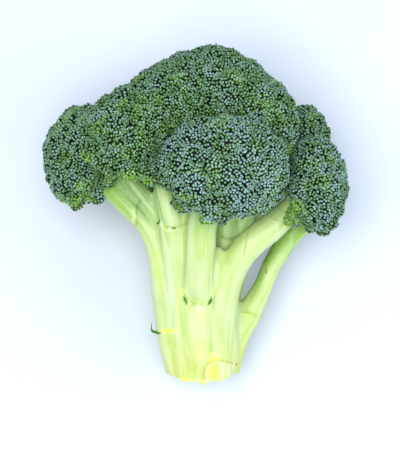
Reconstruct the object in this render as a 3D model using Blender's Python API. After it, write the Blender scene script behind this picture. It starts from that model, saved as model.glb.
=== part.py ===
"""A head of broccoli, cut from its plant and lying on its back.

The head is planned upright: +Z runs up the stalk from the middle of the cut end, -Y is the front
and +X is to the right. A parent empty then lays it on its back on the surface z = 0, leaning on
two of its back florets and the rim of the cut end.

Every organ is a solid of its own: the stalk, the branches that leave it, the floret that each
branch carries, and the stubs of trimmed leaves. Neighbours keep a hair's gap.
"""

import math

import bmesh
import bpy
from mathutils import Euler, Matrix, Vector
from mathutils.bvhtree import BVHTree

MM = 0.001
GAP = 0.3 * MM

# How the head lies: the stalk climbs from the table by LEAN, and the head is rolled about it by ROLL.
LEAN = math.radians(21.65)
ROLL = math.radians(-1.55)

# A stalk or branch is a run of (x, y, z, radius) points in millimetres, from its root to its tip.
STALK = [
    (0, 0, 0, 18.2), (0, 0, 10, 19.8), (-1, -2, 22, 20.6),
    (-1.5, -2.5, 36, 19), (-1.5, -2.5, 50, 12),
]
BRANCHES = {
    "front": [
        (-2.7, -13, 30, 7), (-2.7, -19.5, 46, 7.4), (-2, -22.5, 62, 7.5),
        (-1, -25, 80, 7.4), (5, -32, 100, 6.3),
    ],
    "left": [
        (-11, -6, 12, 7.5), (-16, -10, 28.5, 8.4), (-18, -12, 54, 8.2),
        (-27.5, -10, 80, 7.7), (-52, -4, 101, 6.3),
    ],
    "right": [
        (6, -9, 8, 7), (8.5, -14, 38, 8), (18.5, -16.5, 63, 8), (33, -14.5, 77, 6.6),
        (47, -11, 90, 5),
    ],
    "top_left": [
        (-9, -12, 34, 6), (-13, -16.5, 57, 6.4), (-15, -17.5, 76, 6.8),
        (-17.5, -15, 98, 5.8), (-19, -11, 119, 5),
    ],
    "front_left": [
        (-12, -6, 40, 6), (-17, -9, 58, 6.2), (-22, -10.5, 71, 6.2),
        (-27, -11.5, 84, 6), (-33.5, -15, 101, 5.6),
    ],
    "rear_right": [
        (13, -3, 6, 5.6), (21.5, 0, 28.5, 6), (31.2, 7.5, 49, 5.2), (42, 15, 69, 4.7),
        (46.5, 18, 94, 4.2),
    ],
    "low_right": [(36, 11.5, 57, 3), (42, 13, 66, 3.6), (47.5, 11.5, 71.5, 3.4), (54, 7, 75, 3)],
    "top": [
        (2, -3, 36, 7), (6, -4.5, 52, 6.2), (10, -4.5, 73, 5.3), (9, -2, 96, 5.4),
        (5, 0, 118, 5.2),
    ],
    "top_right": [
        (6, -3, 40, 5), (12.5, -2, 58, 4.9), (19, 0, 75, 4.7), (24, -3, 97, 4.7),
        (25, -5, 110, 4.4),
    ],
    "back": [(2, 9, 14, 9), (2, 14, 36, 8.5), (3, 19, 57, 8), (4.5, 28, 82, 7.2), (5, 34, 99, 6)],
    "back_left": [
        (-9, 6, 22, 8.2), (-14, 11, 43, 7.6), (-21, 17, 62, 7), (-30, 23, 84, 6.5),
        (-35, 27, 101, 5.8),
    ],
    "back_right": [
        (9, 8, 18, 7.6), (13, 14, 40, 7), (18, 20, 60, 6.5), (25, 27, 80, 6),
        (30, 31.5, 94, 5.4),
    ],
    "back_top": [
        (-3, 3, 38, 6), (-4, 8, 58, 6), (-5, 13, 80, 6), (-7, 18, 104, 5.6),
        (-8, 20, 117, 5),
    ],
}

# A floret is a dome of tight buds: (centre, half-widths along X, Y and Z), in millimetres.
FLORETS = {
    "front": ((8, -34, 108), (31, 27, 27)),
    "left": ((-59.5, -1, 107), (19.5, 25, 25)),
    "right": ((53.5, -9, 95.5), (17, 25, 25)),
    "top_left": ((-18, -8, 132.5), (23, 24, 22)),
    "front_left": ((-35.5, -18, 114), (22, 25, 31)),
    "rear_right": ((48, 19, 115), (15, 18, 17)),
    "low_right": ((57.5, 4, 77), (9, 10, 9.5)),
    "top": ((4.5, 0, 136), (31, 32, 25)),
    "top_right": ((26, -7, 125), (21, 24, 23)),
    "back": ((3, 32, 109), (28, 24, 28)),
    "back_left": ((-36, 33, 108), (26, 25, 27)),
    "back_right": ((34, 33, 102), (24, 25, 25)),
    "back_top": ((-7, 24, 130), (28, 26, 25)),
}
UNDERSIDE = 0.55  # a floret's flat underside is this share of its mean half-width below its centre
ROUNDING = 12.0  # how sharply a dome turns into its underside and its sides: higher is sharper

# A leaf stub is (host, middle, facing, half-length, thickness radius, bow), in millimetres. Its middle
# is inside the host, and it faces out at an angle from the front, in degrees, positive to the right.
LEAF_STUBS = {
    "left": ("branch_left", (-14.5, -10, 25), -50, 4.6, 1.0, -1.6),
    "front_left": ("branch_front", (-6.0, -16, 38), -20, 2.2, 0.8, -0.8),
    "front_right": ("branch_front", (-0.2, -16, 38), 0, 1.7, 0.8, -0.8),
    "upper_left": ("branch_top_left", (-16.5, -16, 77), -35, 1.6, 0.6, 0.5),
    "upper_mid": ("branch_top_left", (-14, -16, 75), 15, 1.9, 0.7, -0.5),
}

COLOURS = {
    "stalk": (0.62, 0.80, 0.33, 0.45),
    "branch": (0.60, 0.78, 0.32, 0.45),
    "floret": (0.045, 0.115, 0.06, 0.75),
    "leaf_stub": (0.03, 0.13, 0.02, 0.6),
}


def clear_scene():
    for obj in list(bpy.data.objects):
        bpy.data.objects.remove(obj)


def new_collection(name, hidden=False):
    collection = bpy.data.collections.new(name)
    collection.hide_render = hidden
    bpy.context.scene.collection.children.link(collection)
    return collection


def material(kind):
    """A waxy plant surface, shared by every organ of one kind."""
    found = bpy.data.materials.get(kind)
    if found:
        return found
    made = bpy.data.materials.new(kind)
    made.use_nodes = True
    shader = made.node_tree.nodes["Principled BSDF"]
    red, green, blue, roughness = COLOURS[kind]
    shader.inputs["Base Color"].default_value = (red, green, blue, 1)
    shader.inputs["Roughness"].default_value = roughness
    shader.inputs["Metallic"].default_value = 0.0
    return made


def mesh_object(name, mesh, collection):
    obj = bpy.data.objects.new(name, mesh)
    collection.objects.link(obj)
    return obj


def helper(obj):
    """Marks a cutter: it shapes its neighbours and isn't part of the head."""
    obj.hide_render = True
    obj.display_type = "WIRE"
    return obj


def tube(name, points, collection, extra=0.0, sides_resolution=4, steps=3):
    """A closed round tube through (x, y, z, radius) points, grown by extra, as a welded mesh."""
    curve = bpy.data.curves.new(name, "CURVE")
    curve.dimensions = "3D"
    curve.bevel_depth = MM
    curve.bevel_resolution = sides_resolution
    curve.resolution_u = steps
    curve.use_fill_caps = True
    spline = curve.splines.new("BEZIER")
    spline.bezier_points.add(len(points) - 1)
    for knot, (x, y, z, radius) in zip(spline.bezier_points, points):
        knot.co = Vector((x, y, z)) * MM
        knot.handle_left_type = knot.handle_right_type = "AUTO"
        knot.radius = radius + extra / MM
    drawn = bpy.data.objects.new(name + "_curve", curve)
    collection.objects.link(drawn)
    graph = bpy.context.evaluated_depsgraph_get()
    mesh = bpy.data.meshes.new_from_object(drawn.evaluated_get(graph))
    bpy.data.objects.remove(drawn)
    weld(mesh)
    mesh.name = name
    return mesh_object(name, mesh, collection)


def weld(mesh):
    work = bmesh.new()
    work.from_mesh(mesh)
    bmesh.ops.remove_doubles(work, verts=work.verts, dist=0.01 * MM)
    bmesh.ops.recalc_face_normals(work, faces=work.faces)
    work.to_mesh(mesh)
    work.free()


def ellipsoid_reach(direction, half_widths):
    """How far an ellipsoid's surface lies from its centre in a unit direction."""
    return 1.0 / math.sqrt(sum((d / h) ** 2 for d, h in zip(direction, half_widths)))


def floret_limits(name):
    """The flat limits of a floret, as (unit direction, distance) pairs in millimetres.

    One is its underside, square to the branch that carries it. The others are where it presses
    against a neighbour: a plane that shares out the way between their centres by their half-widths.
    """
    centre, half_widths = FLORETS[name]
    centre = Vector(centre)
    carrier = Vector(BRANCHES[name][-2][:3])
    limits = [((carrier - centre).normalized(), UNDERSIDE * sum(half_widths) / 3)]
    for other, (other_centre, other_half_widths) in FLORETS.items():
        if other == name:
            continue
        across = Vector(other_centre) - centre
        towards = across.normalized()
        own = ellipsoid_reach(towards, half_widths)
        its = ellipsoid_reach(towards, other_half_widths)
        limits.append((towards, across.length * own / (own + its) - GAP / MM / 2))
    return limits


def floret(name, collection):
    """A dome of buds: a sphere whose points move out to the nearest of the floret's limits."""
    centre, half_widths = FLORETS[name]
    limits = floret_limits(name)
    work = bmesh.new()
    bmesh.ops.create_icosphere(work, subdivisions=3, radius=1.0)
    for vert in work.verts:
        direction = vert.co.normalized()
        nearness = ellipsoid_reach(direction, half_widths) ** -ROUNDING
        for towards, distance in limits:
            cosine = direction.dot(towards)
            if cosine > 0:
                nearness += (cosine / distance) ** ROUNDING
        vert.co = (Vector(centre) + direction * nearness ** (-1 / ROUNDING)) * MM
    mesh = bpy.data.meshes.new("floret_" + name)
    work.to_mesh(mesh)
    work.free()
    return mesh_object("floret_" + name, mesh, collection)


def surface_tree(obj):
    work = bmesh.new()
    work.from_mesh(obj.data)
    tree = BVHTree.FromBMesh(work)
    work.free()
    return tree


def make_room(piece, neighbours, cutters):
    """Cuts piece by the grown twin of each neighbour that it runs into, and keeps its largest part."""
    tree = surface_tree(piece)
    for neighbour in neighbours:
        cutter = cutters[neighbour]
        if tree.overlap(surface_tree(cutter)):
            cut = piece.modifiers.new("room for " + neighbour, "BOOLEAN")
            cut.operation = "DIFFERENCE"
            cut.object = cutter
    graph = bpy.context.evaluated_depsgraph_get()
    piece.data = bpy.data.meshes.new_from_object(piece.evaluated_get(graph))
    piece.modifiers.clear()
    keep_largest_part(piece.data)


def keep_largest_part(mesh):
    work = bmesh.new()
    work.from_mesh(mesh)
    bmesh.ops.remove_doubles(work, verts=work.verts, dist=0.02 * MM)
    unseen = set(work.faces)
    parts = []
    while unseen:
        part = set()
        edge_of_part = [unseen.pop()]
        while edge_of_part:
            face = edge_of_part.pop()
            part.add(face)
            beside = {other for edge in face.edges for other in edge.link_faces} & unseen
            unseen -= beside
            edge_of_part += beside
        parts.append(part)
    parts.sort(key=lambda part: sum(face.calc_area() for face in part))
    crumbs = [face for part in parts[:-1] for face in part]
    bmesh.ops.delete(work, geom=crumbs, context="FACES")
    work.to_mesh(mesh)
    work.free()


def leaf_stub(name, hosts, collection):
    """A crescent left where a leaf was trimmed, hugging its host."""
    host, middle, facing, half_length, radius, bow = LEAF_STUBS[name]
    angle = math.radians(facing)
    outward = Vector((math.sin(angle), -math.cos(angle), 0))
    along = Vector((math.cos(angle), math.sin(angle), 0))
    tree = surface_tree(hosts[host])
    points = []
    for share in (-1.0, -0.5, 0.0, 0.5, 1.0):
        aim = Vector(middle) + along * share * half_length + Vector((0, 0, bow * (1 - share**2)))
        place, normal, _, _ = tree.ray_cast((aim + outward * 60) * MM, -outward)
        out = place + normal * (radius * MM + 2 * GAP)
        points.append((*(out / MM), radius * (1 - 0.75 * share**2)))
    return tube("leaf_stub_" + name, points, collection, sides_resolution=2, steps=2)


def lay_down(parts):
    """Lays the upright head on its back, on z = 0, with the middle of its footprint at the origin."""
    turn = Matrix.Rotation(LEAN - math.pi / 2, 4, "X") @ Matrix.Rotation(ROLL, 4, "Z")
    corners = []
    graph = bpy.context.evaluated_depsgraph_get()
    for part in parts:
        shape = part.evaluated_get(graph).to_mesh()
        corners += [turn @ vert.co for vert in shape.vertices]
    low = Vector(min(corner[axis] for corner in corners) for axis in range(3))
    high = Vector(max(corner[axis] for corner in corners) for axis in range(3))
    rest = bpy.data.objects.new("rest_pose", None)
    bpy.context.scene.collection.objects.link(rest)
    rest.rotation_euler = turn.to_euler()
    rest.location = -Vector(((low.x + high.x) / 2, (low.y + high.y) / 2, low.z))
    for part in parts:
        part.parent = rest


def dress(part, kind):
    part.data.materials.clear()
    part.data.materials.append(material(kind))
    part.data.shade_smooth()
    part.data.set_sharp_from_angle(angle=math.radians(40))


def main():
    clear_scene()
    broccoli = new_collection("broccoli_head")
    guides = new_collection("cutters", hidden=True)

    stems = {"stalk": tube("stalk", STALK, broccoli, steps=4)}
    stems |= {
        "branch_" + name: tube("branch_" + name, points, broccoli)
        for name, points in BRANCHES.items()
    }
    runs = {"stalk": STALK} | {"branch_" + name: points for name, points in BRANCHES.items()}
    cutters = {
        name: helper(tube(name + "_room", points, guides, extra=GAP))
        for name, points in runs.items()
    }
    florets = {name: floret(name, broccoli) for name in FLORETS}
    stubs = [leaf_stub(name, stems, broccoli) for name in LEAF_STUBS]

    order = list(stems)
    for place, name in enumerate(order):
        make_room(stems[name], order[:place], cutters)
    for piece in [*florets.values(), *stubs]:
        make_room(piece, order, cutters)

    for part in stems.values():
        dress(part, "stalk" if part.name == "stalk" else "branch")
    for part in florets.values():
        dress(part, "floret")
    for part in stubs:
        dress(part, "leaf_stub")
    lay_down([*stems.values(), *florets.values(), *stubs])


main()
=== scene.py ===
"""A cut head of broccoli, lying on its back on a plain pale table under soft studio light.

The head is planned upright in millimetres, as it grew: +Z runs up the stalk from the middle of the cut
end, -Y is its front and +X its right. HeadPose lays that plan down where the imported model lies.
"""

import logging
import math
from dataclasses import dataclass
from enum import Enum

import bmesh
import bpy
import numpy as np
from mathutils import Matrix, Vector
from mathutils.bvhtree import BVHTree


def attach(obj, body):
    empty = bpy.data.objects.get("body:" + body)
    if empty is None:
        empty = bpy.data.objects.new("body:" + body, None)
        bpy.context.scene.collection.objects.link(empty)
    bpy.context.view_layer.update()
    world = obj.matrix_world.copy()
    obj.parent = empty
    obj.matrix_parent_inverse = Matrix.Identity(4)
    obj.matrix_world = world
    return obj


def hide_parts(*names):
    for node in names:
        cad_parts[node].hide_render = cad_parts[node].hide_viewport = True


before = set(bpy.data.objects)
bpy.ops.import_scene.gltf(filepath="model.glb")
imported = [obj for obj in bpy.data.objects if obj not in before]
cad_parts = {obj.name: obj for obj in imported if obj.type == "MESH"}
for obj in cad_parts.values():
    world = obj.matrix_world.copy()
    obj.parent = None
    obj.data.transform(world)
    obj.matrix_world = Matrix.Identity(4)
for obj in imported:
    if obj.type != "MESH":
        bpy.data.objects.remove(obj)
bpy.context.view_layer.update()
LOG = logging.getLogger("broccoli")
MM = 0.001
FRONT = np.array((0.0, -1.0, 0.0))
IN_FRONT_MM = -80.0  # a y that is clear of the stalk's front
KNOB_BLEND_MM = 2.0  # how softly a floret's knobs grow out of it

Place = tuple[float, float, float]
Run = tuple[tuple[float, float, float, float], ...]


# ---------------------------------------------------------------------------------------------------
# Small tools
# ---------------------------------------------------------------------------------------------------


def linear(hex_colour: str) -> tuple[float, float, float, float]:
    """Turns an sRGB hex colour into linear RGBA.

    Args:
        hex_colour: six hex digits, such as "E4F3B0".

    Returns:
        Red, green, blue and an alpha of 1, in linear light.
    """
    parts = [int(hex_colour[i : i + 2], 16) / 255 for i in (0, 2, 4)]
    bent = [c / 12.92 if c <= 0.04045 else ((c + 0.055) / 1.055) ** 2.4 for c in parts]
    return (bent[0], bent[1], bent[2], 1.0)


def add_node(
    tree: bpy.types.NodeTree,
    kind: str,
    inputs: dict | None = None,
    stops: dict[float, str] | None = None,
    **settings: object,
) -> bpy.types.Node:
    """Adds a node with its settings, and sets or links its inputs.

    Args:
        tree: the material's or geometry's node tree.
        kind: the node's type name.
        inputs: by name or number, a socket to link from or a value to set.
        stops: a colour ramp's sRGB hex colours, by position.
        **settings: the node's own properties.

    Returns:
        The new node.
    """
    node = tree.nodes.new(kind)
    for name, value in settings.items():
        setattr(node, name, value)
    for key, value in (inputs or {}).items():
        if isinstance(value, bpy.types.NodeSocket):
            tree.links.new(value, node.inputs[key])
        else:
            node.inputs[key].default_value = value
    for place, (position, colour) in enumerate(sorted((stops or {}).items())):
        elements = node.color_ramp.elements
        stop = elements[place] if place < len(elements) else elements.new(position)
        stop.position = position
        stop.color = linear(colour)
    return node


def new_material(name: str, inputs: dict) -> tuple[bpy.types.Material, bpy.types.Node]:
    """Makes a material with a Principled shader.

    Args:
        name: the material's name.
        inputs: the values of the shader's inputs, by name.

    Returns:
        The material and its Principled node.
    """
    material = bpy.data.materials.new(name)
    material.use_nodes = True
    shader = material.node_tree.nodes["Principled BSDF"]
    for key, value in inputs.items():
        shader.inputs[key].default_value = value
    return material, shader


def add_object(name: str, data: bpy.types.ID) -> bpy.types.Object:
    """Makes an object of a mesh, a light or a camera, and links it to the scene.

    Args:
        name: its name.
        data: the mesh, the light or the camera.

    Returns:
        The object, at the origin.
    """
    made = bpy.data.objects.new(name, data)
    bpy.context.scene.collection.objects.link(made)
    return made


def worked_out(carrier: bpy.types.Object) -> bpy.types.Mesh:
    """Takes the mesh that an object's modifiers make, and removes the object.

    Args:
        carrier: the object with the modifiers.

    Returns:
        The new mesh.
    """
    graph = bpy.context.evaluated_depsgraph_get()
    mesh = bpy.data.meshes.new_from_object(carrier.evaluated_get(graph))
    bpy.data.objects.remove(carrier)
    return mesh


def new_piece(
    name: str, vertices: np.ndarray, faces: list, material: bpy.types.Material
) -> bpy.types.Object:
    """Makes a smooth mesh object at the origin.

    Args:
        name: the piece's name.
        vertices: its points, in metres in the model's frame.
        faces: its faces, as rows of vertex numbers.
        material: what it is made of.

    Returns:
        The new object, linked to the scene.
    """
    mesh = bpy.data.meshes.new(name)
    mesh.from_pydata(vertices.tolist(), [], faces)
    mesh.materials.append(material)
    mesh.shade_smooth()
    return add_object(name, mesh)


def store(mesh: bpy.types.Mesh, name: str, values: np.ndarray) -> None:
    """Stores one number or one vector for each vertex.

    Args:
        mesh: the mesh that takes the attribute.
        name: the attribute's name.
        values: an array of n numbers or of n rows of 3.
    """
    if values.ndim == 1:
        mesh.attributes.new(name, "FLOAT", "POINT").data.foreach_set("value", values.astype(np.float32))
    else:
        layer = mesh.attributes.new(name, "FLOAT_VECTOR", "POINT")
        layer.data.foreach_set("vector", values.astype(np.float32).ravel())


def read(rows: bpy.types.bpy_prop_collection, name: str, wide: int, kind: type = float) -> np.ndarray:
    """Reads one property of all of a mesh's vertices or edges.

    Args:
        rows: the vertices or the edges.
        name: the property.
        wide: how many numbers it has.
        kind: what the numbers are.

    Returns:
        A row of numbers for each vertex or edge.
    """
    found = np.empty(len(rows) * wide, dtype=kind)
    rows.foreach_get(name, found)
    return found.reshape(-1, wide)


def points_of(mesh: bpy.types.Mesh) -> np.ndarray:
    """A mesh's vertices as an n by 3 array."""
    return read(mesh.vertices, "co", 3)


def edges_of(mesh: bpy.types.Mesh) -> np.ndarray:
    """A mesh's edges as an n by 2 array of vertex numbers."""
    return read(mesh.edges, "vertices", 2, np.int64)


def put_points(mesh: bpy.types.Mesh, points: np.ndarray) -> None:
    """Moves a mesh's vertices to an n by 3 array of points."""
    mesh.vertices.foreach_set("co", points.ravel())
    mesh.update()


def smoothed(values: np.ndarray, edges: np.ndarray, rounds: int, strength: float = 0.5) -> np.ndarray:
    """Averages a value over a mesh's neighbouring vertices.

    Args:
        values: one number or row for each vertex.
        edges: the mesh's edges.
        rounds: how often it is averaged.
        strength: how far each round moves a value to its neighbours' mean.

    Returns:
        The smoothed values.
    """
    count = np.bincount(edges.ravel(), minlength=len(values)).astype(float)
    rows = values.reshape(len(values), -1).copy()
    count = np.maximum(count, 1)[:, None]
    for _ in range(rounds):
        total = np.zeros_like(rows)
        for column in range(rows.shape[1]):
            total[:, column] += np.bincount(edges[:, 0], rows[edges[:, 1], column], len(rows))
            total[:, column] += np.bincount(edges[:, 1], rows[edges[:, 0], column], len(rows))
        rows += strength * (total / count - rows)
    return rows.reshape(values.shape)


def unit(vectors: np.ndarray) -> np.ndarray:
    """Vectors brought to length 1 along their last axis."""
    return vectors / np.maximum(np.linalg.norm(vectors, axis=-1, keepdims=True), 1e-12)


def step_up(values: np.ndarray, low: float, high: float) -> np.ndarray:
    """A smooth rise from 0 at low to 1 at high."""
    share = np.clip((values - low) / (high - low), 0, 1)
    return share * share * (3 - 2 * share)


def bell(values: np.ndarray, wide: float) -> np.ndarray:
    """A smooth fall from 1 at 0 to nearly nothing at twice the given width."""
    return np.exp(-((values / wide) ** 2))


def painted(colour: np.ndarray, over: str, share: np.ndarray) -> np.ndarray:
    """Linear colours brought nearer to an sRGB hex colour, by a share for each point."""
    return colour + (np.array(linear(over)[:3]) - colour) * share[:, None]


def melted(first: np.ndarray, second: np.ndarray, blend: float) -> np.ndarray:
    """The smaller of two distances, rounded off where they are within a blend of each other."""
    return np.minimum(first, second) - np.maximum(blend - np.abs(first - second), 0) ** 2 / (4 * blend)


def joined(tubes: list[tuple[np.ndarray, list]]) -> tuple[np.ndarray, list]:
    """Puts several meshes' points and faces in one list each.

    Args:
        tubes: each mesh's points and faces.

    Returns:
        All the points, and the faces renumbered to match.
    """
    faces, offset = [], 0
    for points, own_faces in tubes:
        faces += [tuple(corner + offset for corner in face) for face in own_faces]
        offset += len(points)
    return np.vstack([points for points, _ in tubes]), faces


# ---------------------------------------------------------------------------------------------------
# Where the head lies
# ---------------------------------------------------------------------------------------------------


@dataclass(frozen=True)
class HeadPose:
    """How the upright plan is laid on its back on the table."""

    lean: float = math.radians(21.65)
    roll: float = math.radians(-1.55)
    cut_end: Place = (4.384 * MM, -73.998 * MM, 16.91 * MM)

    def matrix(self) -> Matrix:
        """The turn and shift from the plan, in metres, to the model's frame."""
        turn = Matrix.Rotation(self.lean - math.pi / 2, 4, "X") @ Matrix.Rotation(self.roll, 4, "Z")
        return Matrix.Translation(self.cut_end) @ turn

    def place(self, points: np.ndarray) -> np.ndarray:
        """Takes plan points in millimetres to the model's frame in metres."""
        full = np.array(self.matrix())
        return points * MM @ full[:3, :3].T + full[:3, 3]

    def turn(self, directions: np.ndarray) -> np.ndarray:
        """Takes plan directions to the model's frame."""
        return directions @ np.array(self.matrix())[:3, :3].T


POSE = HeadPose()


# ---------------------------------------------------------------------------------------------------
# Finishes
# ---------------------------------------------------------------------------------------------------


@dataclass(frozen=True)
class StalkSkin:
    """Living skin of a peeled-looking pale stalk: fine long fibres under a thin wax.

    The wax gives a soft, broad shine, and the flesh below it lets some light through.
    """

    fibre_mm: float = 0.9
    strips_per_mm: float = 0.28
    stretch: float = 0.06
    roughness: float = 0.42
    name: str = "stalk_skin"

    def make(self) -> bpy.types.Material:
        """Builds the material from the mesh's flesh colour and its grain, whose z runs along the stem.

        Returns:
            The material.
        """
        material, shader = new_material(
            self.name,
            {
                "Roughness": self.roughness,
                "IOR": 1.42,
                "Subsurface Weight": 0.3,
                "Subsurface Radius": (0.6, 1.0, 0.35),
                "Subsurface Scale": 2.5 * MM,
            },
        )
        tree = material.node_tree
        colour = add_node(tree, "ShaderNodeAttribute", attribute_name="flesh").outputs["Color"]
        grain = add_node(tree, "ShaderNodeAttribute", attribute_name="grain").outputs["Vector"]
        place = add_node(tree, "ShaderNodeTexCoord").outputs["Object"]
        squeeze = (1, 1, self.stretch)
        along = add_node(tree, "ShaderNodeMapping", {"Vector": grain, "Scale": squeeze}).outputs[0]
        fibres, strips, cloud = (
            add_node(tree, "ShaderNodeTexNoise", noise).outputs["Fac"]
            for noise in (
                {"Vector": along, "Scale": 1 / self.fibre_mm, "Detail": 3.0},
                {"Vector": along, "Scale": self.strips_per_mm, "Detail": 2.0},
                {"Vector": place, "Scale": 90.0, "Detail": 3.0},
            )
        )
        pale, veins, blotch = (
            add_node(tree, "ShaderNodeValToRGB", {"Fac": noise}, stops).outputs["Color"]
            for noise, stops in (
                (strips, {0.42: "000000", 0.62: "FFFFFF"}),
                (fibres, {0.35: "D4E2A0", 0.6: "FFFFFF"}),
                (cloud, {0.3: "DCEC9C", 0.6: "FFFFFF"}),
            )
        )
        inputs = {0: pale, 6: colour, 7: linear("F3F8DC")}
        striped = add_node(tree, "ShaderNodeMix", inputs, data_type="RGBA").outputs[2]
        layers = ((0.24, "MIX", striped), (0.12, "MULTIPLY", veins), (0.35, "MULTIPLY", blotch))
        for share, blend, layer in layers:
            inputs = {0: share, 6: colour, 7: layer}
            colour = add_node(tree, "ShaderNodeMix", inputs, data_type="RGBA", blend_type=blend).outputs[2]
        tree.links.new(colour, shader.inputs["Base Color"])
        bump = add_node(tree, "ShaderNodeBump", {"Height": fibres, "Strength": 0.15, "Distance": 0.2 * MM})
        tree.links.new(bump.outputs[0], shader.inputs["Normal"])
        return material


@dataclass(frozen=True)
class BudBloom:
    """Closed flower buds of a broccoli crown: green sepals, with a wax bloom where they face out.

    The bloom scatters light, so each tip is a dull blue-grey dot. The sides are clean green, with painted
    shade: dark where the crown is dense and nearly black at each bud's foot. They are bright yellow-green
    where young buds stand apart, near its creases and its rim.
    """

    roughness: float = 0.48
    shake: float = 0.7
    name: str = "flower_buds"

    def make(self) -> bpy.types.Material:
        """Builds the material from how far up its bud a point is, and from what the bud is like.

        Returns:
            The material.
        """
        material, shader = new_material(
            self.name, {"Roughness": self.roughness, "IOR": 1.42, "Specular IOR Level": 0.3}
        )
        tree = material.node_tree
        tip, tint, young, wax = (
            add_node(tree, "ShaderNodeAttribute", attribute_name=name).outputs["Fac"]
            for name in ("tip", "tint", "young", "wax")
        )
        inputs = {0: tint, 1: self.shake, 2: -self.shake / 2}
        shaken = add_node(tree, "ShaderNodeMath", inputs, operation="MULTIPLY_ADD").outputs[0]
        inputs = {0: young, 1: shaken}
        fresh = add_node(tree, "ShaderNodeMath", inputs, operation="ADD", use_clamp=True).outputs[0]
        bluer = add_node(tree, "ShaderNodeMath", {0: shaken, 1: wax}, operation="ADD").outputs[0]
        lower, upper, grown, waxed = (
            add_node(tree, "ShaderNodeValToRGB", {"Fac": factor}, stops).outputs["Color"]
            for factor, stops in (
                (tip, {0.12: "000000", 0.5: "FFFFFF"}),
                (tip, {0.55: "000000", 0.9: "FFFFFF"}),
                (fresh, {0.45: "000000", 1.0: "8C8C8C"}),
                (bluer, {0.0: "52783E", 0.3: "60885E", 0.6: "76998A", 0.9: "8AA8B2"}),
            )
        )
        # nearly black at each bud's foot and dark green on its older sides: painted shade between the
        # packed buds
        colour, side, bloom = (
            add_node(tree, "ShaderNodeMix", {0: factor, 6: first, 7: second}, data_type="RGBA").outputs[2]
            for factor, first, second in (
                (fresh, linear("020B04"), linear("234608")),
                (fresh, linear("081F0A"), linear("82B012")),
                (grown, waxed, linear("92BE34")),
            )
        )
        for factor, layer in ((lower, side), (upper, bloom)):
            inputs = {0: factor, 6: colour, 7: layer}
            colour = add_node(tree, "ShaderNodeMix", inputs, data_type="RGBA").outputs[2]
        tree.links.new(colour, shader.inputs["Base Color"])
        return material


@dataclass(frozen=True)
class FloretFlesh:
    """The flesh under the buds: nearly black green between them, which is painted shade, and pale green on
    its open underside.
    """

    roughness: float = 0.6
    name: str = "floret_flesh"

    def make(self) -> bpy.types.Material:
        """Builds the material from how far a point is from the budded side.

        Returns:
            The material.
        """
        material, shader = new_material(self.name, {"Roughness": self.roughness, "Specular IOR Level": 0.1})
        tree = material.node_tree
        below, young = (
            add_node(tree, "ShaderNodeAttribute", attribute_name=name).outputs["Fac"]
            for name in ("below", "young")
        )
        place = add_node(tree, "ShaderNodeTexCoord").outputs["Object"]
        cloud = add_node(tree, "ShaderNodeTexNoise", {"Vector": place, "Scale": 350.0, "Detail": 3.0})
        stops = {0.35: "6E9C40", 0.65: "9FC468"}
        pale = add_node(tree, "ShaderNodeValToRGB", {"Fac": cloud.outputs["Fac"]}, stops).outputs["Color"]
        # nearly black: painted shade between the buds
        colour = linear("020803")
        for factor, layer in ((young, linear("14300A")), (below, pale)):
            inputs = {0: factor, 6: colour, 7: layer}
            colour = add_node(tree, "ShaderNodeMix", inputs, data_type="RGBA").outputs[2]
        tree.links.new(colour, shader.inputs["Base Color"])
        return material


@dataclass(frozen=True)
class LeafSkin:
    """The trimmed base of a leaf: dark green skin with a dull wax, in a mottle finer than the stub."""

    roughness: float = 0.5
    name: str = "leaf_skin"

    def make(self) -> bpy.types.Material:
        """Builds the material.

        Returns:
            The material.
        """
        material, shader = new_material(self.name, {"Roughness": self.roughness, "Specular IOR Level": 0.2})
        tree = material.node_tree
        place = add_node(tree, "ShaderNodeTexCoord").outputs["Object"]
        mottle = add_node(tree, "ShaderNodeTexNoise", {"Vector": place, "Scale": 900.0, "Detail": 2.0})
        stops = {0.35: "225A14", 0.7: "5C9828"}
        colour = add_node(tree, "ShaderNodeValToRGB", {"Fac": mottle.outputs["Fac"]}, stops)
        tree.links.new(colour.outputs["Color"], shader.inputs["Base Color"])
        return material


# ---------------------------------------------------------------------------------------------------
# The stalk and its branches
# ---------------------------------------------------------------------------------------------------


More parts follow.
